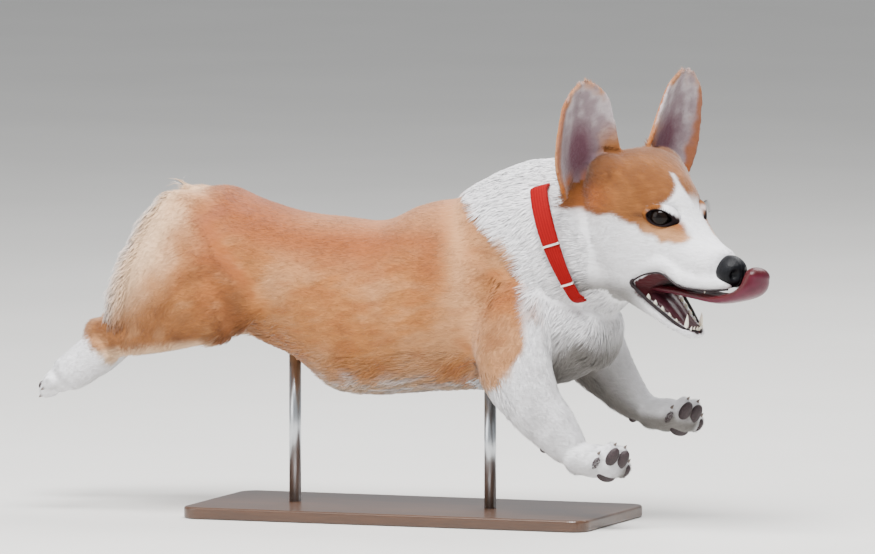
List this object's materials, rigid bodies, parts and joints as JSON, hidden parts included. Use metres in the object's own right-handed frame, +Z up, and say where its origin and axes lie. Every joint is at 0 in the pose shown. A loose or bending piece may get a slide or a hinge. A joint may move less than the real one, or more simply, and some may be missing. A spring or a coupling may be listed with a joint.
{
  "type": "pembroke welsh corgi model",
  "caption": "Life-size Pembroke Welsh corgi leaping at full stretch, ears up, tongue out, red collar, on a flat base with two rods.",
  "frame": {"origin": "middle of the stand's underside box, on the floor under the dog", "axes": "+X the way the body heads, +Y the dog's left, +Z up"},
  "size_m": [0.804, 0.2002, 0.455],
  "materials": {
    "coat_tan": "short to medium double coat, fox red to fawn, matte",
    "coat_white": "white coat of ruff, blaze, legs and feet, matte",
    "coat_cream": "pale cream coat of the breeches and tail tuft, matte",
    "mouth": "moist lips and gums with pale teeth",
    "tongue": "moist pink tongue",
    "nose_leather": "moist dark nose leather, fine pebble grain",
    "eye": "dark brown glass eye, clear gloss",
    "collar_strap": "plain red strap, satin",
    "collar_metal": "thin bright metal keeper",
    "stand_wood": "dark stained hardwood, satin",
    "stand_steel": "brushed steel rod"
  },
  "bodies": {
    "root": {"head": "coat_tan", "lower_jaw": "mouth", "tongue": "tongue", "nose": "nose_leather", "eye_right": "eye", "eye_left": "eye", "ear_right": "coat_tan", "ear_left": "coat_tan", "torso": "coat_tan", "neck": "coat_white", "tail": "coat_cream", "collar": "collar_strap", "collar_keeper_1": "collar_metal", "collar_keeper_2": "collar_metal", "foreleg_upper_right": "coat_tan", "foreleg_lower_right": "coat_white", "forepaw_right": "coat_white", "foreleg_upper_left": "coat_tan", "foreleg_lower_left": "coat_white", "forepaw_left": "coat_white", "thigh_right": "coat_tan", "shank_right": "coat_tan", "hind_foot_right": "coat_white", "thigh_left": "coat_tan", "shank_left": "coat_tan", "hind_foot_left": "coat_white", "stand_base": "stand_wood", "stand_rod_front": "stand_steel", "stand_rod_rear": "stand_steel"}
  },
  "joints": []
}
